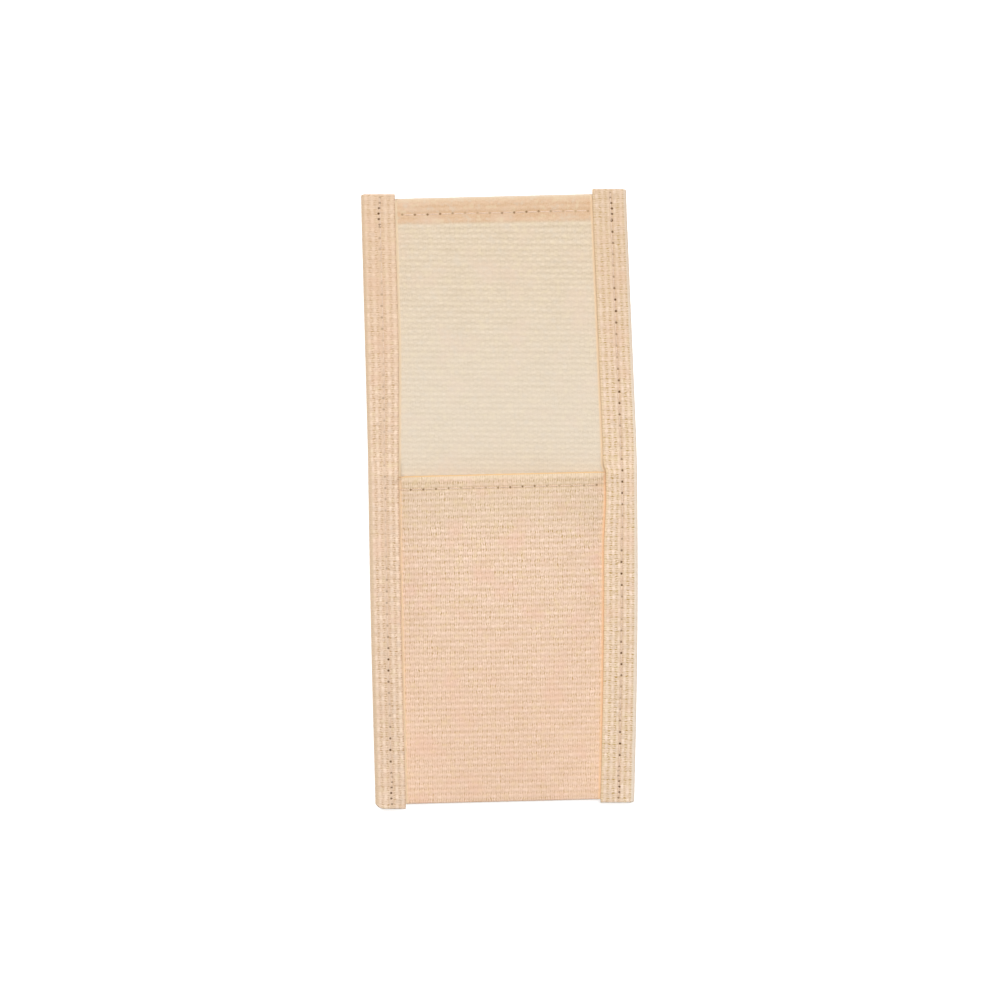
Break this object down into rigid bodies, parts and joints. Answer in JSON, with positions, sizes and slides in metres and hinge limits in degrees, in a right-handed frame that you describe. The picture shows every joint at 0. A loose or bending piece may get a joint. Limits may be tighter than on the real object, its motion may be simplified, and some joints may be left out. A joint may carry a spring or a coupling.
{
  "type": "lumbar support belt pocket",
  "caption": "Flat cloth pocket of woven mesh for a lumbar support belt, with bound sides, hemmed mouth and a single-layer flap that folds over the mouth",
  "frame": {"origin": "centre of the outline, at the height of the table the pocket lies on", "axes": "+X to the right, +Y towards the top hem, +Z out of the pocket front"},
  "size_m": [0.0912, 0.2048, 0.0102],
  "materials": {
    "mesh_cloth": "coarse plain-woven peach mesh",
    "binding_tape": "ribbed peach tape, pressed flat",
    "sewing_thread": "matte spun thread"
  },
  "bodies": {
    "pocket": {"back_panel": "mesh_cloth", "bottom_fold": "mesh_cloth", "pocket_front": "mesh_cloth", "mouth_hem": "mesh_cloth", "left_binding_lower": "binding_tape", "right_binding_lower": "binding_tape", "left_needle_thread_lower": "sewing_thread", "left_bobbin_thread_lower": "sewing_thread", "right_needle_thread_lower": "sewing_thread", "right_bobbin_thread_lower": "sewing_thread", "mouth_needle_thread": "sewing_thread", "mouth_bobbin_thread": "sewing_thread"},
    "flap": {"flap_panel": "mesh_cloth", "top_hem": "mesh_cloth", "left_binding_upper": "binding_tape", "right_binding_upper": "binding_tape", "left_needle_thread_upper": "sewing_thread", "left_bobbin_thread_upper": "sewing_thread", "right_needle_thread_upper": "sewing_thread", "right_bobbin_thread_upper": "sewing_thread", "top_needle_thread": "sewing_thread", "top_bobbin_thread": "sewing_thread"}
  },
  "joints": [
    {"name": "flap_fold", "type": "hinge", "parent": "pocket", "child": "flap", "pos_m": [0, 0.0151, 0.0063], "axis": [1, 0, 0], "range_deg": [0, 180]}
  ]
}
